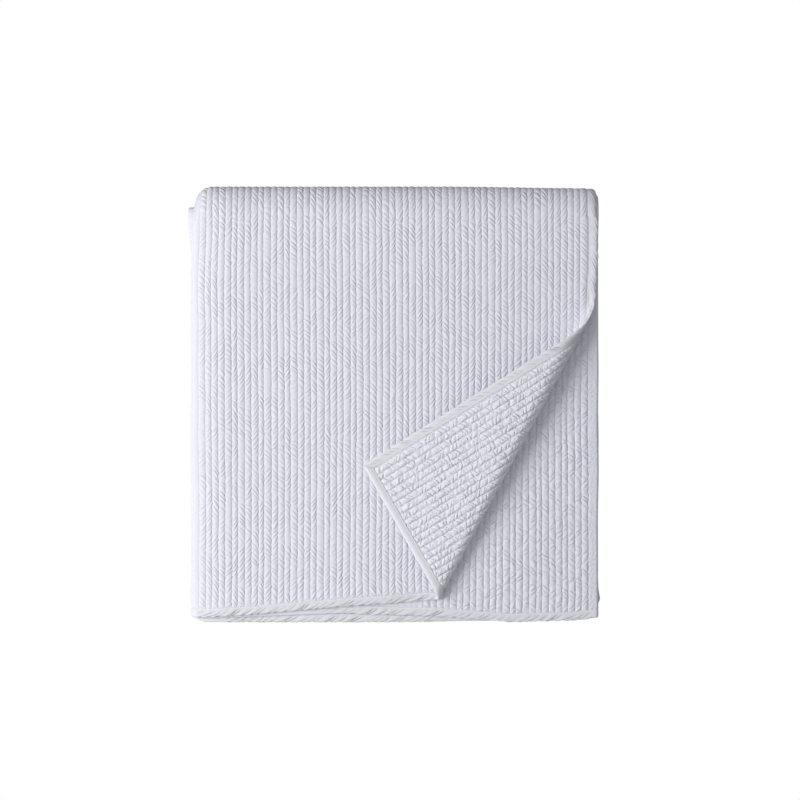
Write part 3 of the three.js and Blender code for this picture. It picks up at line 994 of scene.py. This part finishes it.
def secondLeafPiece():
    start = firstTail[-1]
    uShown = secondLeaf["start"] + shownFrom - secondLeaf["x"]
    first, last = channelsOf(uShown, secondBend["start"] - cloth["plainByBend"])
    hidden = spread(start, evenLine(first) - cloth["pitch"], detail["hiddenColumn"])
    fronts = Columns().plain(hidden).channels(coarseColumns(first, last)).plain(secondTail)
    backs = Columns().plain(hidden).channels(fineColumns(first, last)).plain(secondTail)
    piece = clothPiece("quilted_cloth_second", fronts, coarseRows, backs, cornerRows, False)
    declare()


secondLeafPiece()


# The two lower leaves, and then the inner half of the whole cloth
def plainAcross(start, end):
    places = [start, end]
    leafEnd = detail["leafEnd"]
    for piece in across:
        pieceEnd = piece["start"] + piece["length"]
        if piece["bend"]:
            places.extend(spread(piece["start"], pieceEnd, bendStep))
            places.extend([piece["start"] - besideBend, pieceEnd + besideBend])
        else:
            places.extend(spread(piece["start"] + leafEnd, pieceEnd - leafEnd, detail["hiddenColumn"]))
    places.extend([cloth["tuckEdge"], cloth["tuckEnd"], cloth["quiltStart"]])
    places.extend([acrossLength - cloth["tuckEdge"], acrossLength - cloth["tuckEnd"]])
    places = joined(places)
    return places[(places >= start) & (places <= end)]


def hiddenPiece(name, start, end, rows):
    columns = Columns().plain(plainAcross(start, end))
    piece = clothPiece(name, columns, rows, columns, rows, False)
    declare()


lastU = acrossLength - cloth["tuckEdge"]
hiddenPiece("quilted_cloth_lower", secondTail[-1], lastU, coarseRows)
hiddenPiece("quilted_cloth_inner", cloth["tuckEdge"], lastU, restRows)
print("lower leaves done")


# Binding strips: distance from the outer edge inwards, half the thickness where leaves press on each
# other, and half the thickness where nothing lies on the strip
bindingSection = [
    (11, 1.15, 1.15),
    (10.3, 1.3, 1.34),
    (9.6, 1.05, 1.08),
    (8.8, 1.35, 1.5),
    (7.4, 1.55, 1.92),
    (5.5, 1.6, 2.35),
    (3.6, 1.6, 2.5),
    (2.0, 1.5, 2.2),
    (0.9, 1.15, 1.55),
    (0.25, 0.6, 0.8),
]
slot = {"half": 0.95, "floor": 1.7}
bindingRow = {"fine": 1.5, "coarse": 6.0, "fold": 2.2, "corner": 7}

# The strips' drag lines, by size, lean and spacing. "thin" is the least half thickness they leave.
bindingDrag = {
    "size": 1.35,
    "sizeWave": (0.9, 0.4, 70),
    "sizeLimits": (0.5, 1.2),
    "pressedSize": 0.2,
    "smoothSize": 0.12,
    "sideSize": 0.75,
    "thin": 1.25,
    "pitch": 11.5,
    "hemLean": 1.5,
    "sideLean": -1.6,
    "leanWave": (0.3, 160),
    "bow": (1.6, 18),
    "drift": (0.3, 90),
    "spacing": ((0.2, 2.3), (0.13, 3.7)),
    "fold": (1.9, 1.05),
    "width": 9.6,
    "power": 0.7,
    "edge": 0.8,
    "edgeOut": 0.2,
    "edgeWidth": 5,
    "edgeStart": (14, 10),
    "foldFade": 12,
}

# Where the strips' puffed parts begin or end. Each pair is a place and the length of the change.
bindingTurn = {"hem": (224, 24), "side": (393, 30)}
smoothHemEnd = 242
firstTurnAt = firstBend["start"] + besideBend
secondTurnAt = secondBend["start"] + besideBend
topEnd = (firstTurnAt, 14)
secondMiddle = secondLeaf["start"] - secondLeaf["x"]
secondShown = {"from": (secondMiddle - 150, 120), "to": (secondBend["start"] - 4, 6)}
thirdMiddle = thirdLeaf["start"] + thirdLeaf["x"]
thirdShown = {"from": (thirdMiddle - 100, 60), "to": (thirdMiddle + 240, 20)}
sideEnd = (endOf("topBend") - 30, 30)


def bindingPuff(side, t, isFirst, isHem):
    # 1 where nothing lies on the strip's face, 0 where another leaf presses on it
    if not isFirst:
        return np.zeros_like(t)
    turned = falling(t, *bindingTurn["hem" if isHem else "side"])
    if not isHem:
        return np.where(side > 0, falling(t, *sideEnd) * (1 - turned), turned)
    second = rising(t, *secondShown["from"]) * falling(t, *secondShown["to"])
    third = rising(t, *thirdShown["from"]) * falling(t, *thirdShown["to"])
    return np.where(side > 0, falling(t, *topEnd) * (1 - turned) + third, turned + second)


def bindingStations(isHem, length, fineSpans):
    # Places along a strip, closer together in the folds and where it shows
    if isHem:
        bends = [(p["start"], p["start"] + p["length"]) for p in across if p["bend"]]
    else:
        folds = (("top", "topBend"), ("bottom", "hemBend"), ("lower", "innerBend"))
        bends = [(endOf(run), endOf(bend)) for run, bend in folds]
    step = bendStep if isHem else bindingRow["fold"]
    stations = [spread(stripEnd, length - stripEnd, bindingRow["coarse"])]
    stations += [spread(a - besideBend, b + besideBend, step) for a, b in bends]
    for a, b in fineSpans:
        stations = [places[(places < a) | (places > b)] for places in stations]
        stations.append(spread(max(a, stripEnd), min(b, length - stripEnd), bindingRow["fine"]))
    return joined(*stations)


def bindingFolds(d, t, side, puff, isHem, isFirst):
    # The drag lines across a strip: how many have passed, how far each place is raised or sunk,
    # and how strong they are
    drag = bindingDrag
    size, length = drag["leanWave"]
    lean = drag["hemLean" if isHem else "sideLean"] + size * wavy(3 * side, t, length, 12.0)
    if isHem and isFirst:
        # The second leaf's other face is up, and its drag lines look alike from above
        lean = lean * np.where((t > firstTurnAt) & (t < secondTurnAt), -1, 1)
    bow, bowWidth = drag["bow"]
    size, length = drag["drift"]
    passed = (t + d * (bow - d / bowWidth) * lean) / drag["pitch"] + size * wavy(side, t, length, 13.0)
    (sizeA, turnsA), (sizeB, turnsB) = drag["spacing"]
    passed = passed + sizeA * np.sin(turnsA * passed) + sizeB * np.sin(turnsB * passed + side)
    height, sunk = drag["fold"]
    fold = height * np.abs(np.sin(math.pi * passed)) - sunk
    middle, size, length = drag["sizeWave"]
    size = np.clip(middle + size * wavy(side, t, length, 14.0), *drag["sizeLimits"])
    size = size * (drag["pressedSize"] + (1 - drag["pressedSize"]) * puff)
    byFold = smooth(np.abs(t - firstTurnAt) / drag["foldFade"])
    size = size * (byFold if isHem else drag["sideSize"])
    if isHem and isFirst:
        # The turned corner's hem lies smooth
        size = np.where((side < 0) & (t < smoothHemEnd), drag["smoothSize"], size)
    return passed, fold, size


def fan(middle, points):
    return [(middle, a, b) for a, b in zip(points, points[1:])]


def endFaces(end, count):
    # A strip's end is a C: its outer points are joined to the slot's two corners on their own side
    top = end[: count // 2 + 1]
    low = end[count // 2: count]
    slotLow, slotLowIn, slotTopIn, slotTop = end[count:]
    corners = fan(slotTop, top[:-3])
    corners.append((slotTop, top[-4], slotTopIn))
    corners += fan(slotTopIn, top[-4:])
    corners.append((slotTopIn, low[0], slotLowIn))
    corners += fan(slotLowIn, low[:4])
    corners.append((slotLowIn, low[3], slotLow))
    return corners + fan(slotLow, low[3:])


def bindingPiece(name, isHem, isFirst, fineSpans):
    length = acrossLength if isHem else alongLength
    width = bindingSection[0][0]
    outer = [(*row, 1) for row in bindingSection]
    outer += [(0, 0, 0, 1)] + [(*row, -1) for row in reversed(bindingSection)]
    inner = [(width, -1), (slot["floor"], -1), (slot["floor"], 1), (width, 1)]
    inner = [(d, slot["half"], slot["half"], side) for d, side in inner]
    d, pressed, puffed, side = np.array(outer + inner, float).T
    outside = np.array([1.0] * len(outer) + [0.0] * len(inner))

    # Rows across the strip, which turn from square to the mitre at its ends
    shares = np.linspace(0, 1, bindingRow["corner"] + 1)[:-1]
    t = [(d + mitreGap) * (1 - f) + stripEnd * f for f in shares]
    t += [np.full_like(d, place) for place in bindingStations(isHem, length, fineSpans)]
    t += [(length - d - mitreGap) * (1 - f) + (length - stripEnd) * f for f in shares[::-1]]
    t = np.array(t)

    puff = bindingPuff(side, t, isFirst, isHem)
    passed, fold, size = bindingFolds(d, t, side, puff, isHem, isFirst)
    envelope = np.sin(math.pi * np.clip(d / bindingDrag["width"], 0, 1)) ** bindingDrag["power"]
    # The drag lines leave the strip thick enough to cover the cloth inside it
    half = pressed + (puffed - pressed) * puff
    folded = half + outside * bindingDrag["size"] * size * fold * envelope
    half = np.maximum(folded, np.minimum(half, bindingDrag["thin"]))
    drag = np.stack([passed, size * envelope * outside, np.zeros_like(t)], axis=-1)
    # The strip's outer edge goes in and out with its drag lines
    edge = outside * bindingDrag["edge"] * (fold + bindingDrag["edgeOut"])
    edge = edge * smooth(1 - d / bindingDrag["edgeWidth"]) * rising(t, *bindingDrag["edgeStart"])
    puffEither = np.maximum(*[bindingPuff(way, t, isFirst, isHem) for way in (1, -1)])
    near = d - edge * puffEither
    fromEdge = near if isFirst else (alongLength if isHem else acrossLength) - near
    u, s = (t, fromEdge) if isHem else (fromEdge, t)

    skin = Skin()
    ids = skin.grid(u, s, half * side, (near, t, side), np.full(t.shape, -1))
    ring = np.concatenate([ids, ids[:, :1]], axis=1)
    drag = np.concatenate([drag, drag[:, :1]], axis=1)
    flip = isHem == isFirst
    skin.fill(ring, not flip, drag, drag)
    for row, turned in ((0, flip), (-1, not flip)):
        skin.add(endFaces(ids[row], len(outer)), turned)
    piece = makeObject(f"{name}_strip", skin, binding)
    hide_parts(f"binding_{name}")


# Where the front hem shows, and so has close rows
hemShown = [
    (0, firstLeaf["length"] + 4),
    (secondLeaf["start"] + 110, secondLeaf["start"] + secondLeaf["length"] + 8),
    (thirdLeaf["start"] + 170, thirdLeaf["start"] + thirdLeaf["length"] - 10),
]
bindingPiece("front_hem", True, True, hemShown)
bindingPiece("right_side", False, True, [(0, endOf("topBend"))])
bindingPiece("back_hem", True, False, [])
bindingPiece("left_side", False, False, [])
print("bindings done")


# Floor, light and camera. The key light's energy is in watts and places are in metres.
lighting = {
    "key": 95,
    "keyPlace": (-2.6, -0.1, 2.15),
    "keySize": 1.9,
    "target": (0, 0, 0.03),
    "horizon": 0.22,
    "zenith": 0.485,
    "floor": 0.22,
}
floorHalf = 6.0
floorHeight = -0.0005


def addKeyLight():
    data = bpy.data.lights.new("key", "AREA")
    data.energy = lighting["key"]
    data.size = lighting["keySize"]
    light = bpy.data.objects.new("key", data)
    light.location = lighting["keyPlace"]
    aim = np.array(lighting["target"]) - np.array(lighting["keyPlace"])
    tilt = math.atan2(math.hypot(aim[0], aim[1]), -aim[2])
    light.rotation_euler = (tilt, 0, math.atan2(aim[1], aim[0]) - math.pi / 2)
    bpy.context.scene.collection.objects.link(light)


def floorMaterial():
    # Seen as plain white, and casting back less light than that
    shader = Shader(bpy.data.materials.new("white_floor"))
    seen = shader.node("ShaderNodeEmission", {"Strength": 1.0})
    cast = shader.node("ShaderNodeEmission", {"Strength": lighting["floor"]})
    byCamera = shader.node("ShaderNodeLightPath", output="Is Camera Ray")
    return shader.finish(shader.node("ShaderNodeMixShader", {"Fac": byCamera, 1: cast, 2: seen}))


def addFloor():
    mesh = bpy.data.meshes.new("floor")
    corners = [(-1, -1), (1, -1), (1, 1), (-1, 1)]
    points = [(x * floorHalf, y * floorHalf, floorHeight) for x, y in corners]
    mesh.from_pydata(points, [], [(0, 1, 2, 3)])
    mesh.materials.append(floorMaterial())
    floor = bpy.data.objects.new("floor", mesh)
    bpy.context.scene.collection.objects.link(floor)


def makeWorld():
    # The light of the room comes mostly from overhead
    shader = Shader(bpy.data.worlds.new("studio"))
    direction = shader.node("ShaderNodeTexCoord", output="Generated")
    height = shader.node("ShaderNodeSeparateXYZ", {0: direction}, output="Z")
    inputs = {"Value": height, "To Min": lighting["horizon"], "To Max": lighting["zenith"]}
    strength = shader.node("ShaderNodeMapRange", inputs)
    backdrop = shader.node("ShaderNodeBackground", {"Color": (1, 1, 1, 1), "Strength": strength})
    return shader.finish(backdrop, "ShaderNodeOutputWorld")


addFloor()
addKeyLight()
scene = bpy.context.scene
scene.world = makeWorld()
scene.view_settings.view_transform = "Standard"

# Straight down through a long lens: the picture's width at the height of the top leaf, in metres
view = {"width": 1.095, "x": 0.0075, "y": 0.0055, "height": 0.055, "lens": 280, "sensor": 36}
cameraData = bpy.data.cameras.new("camera")
cameraData.lens = view["lens"]
cameraData.sensor_width = view["sensor"]
camera = bpy.data.objects.new("camera", cameraData)
distance = view["width"] * view["lens"] / view["sensor"]
camera.location = (view["x"], view["y"], view["height"] + distance)
scene.collection.objects.link(camera)
scene.camera = camera
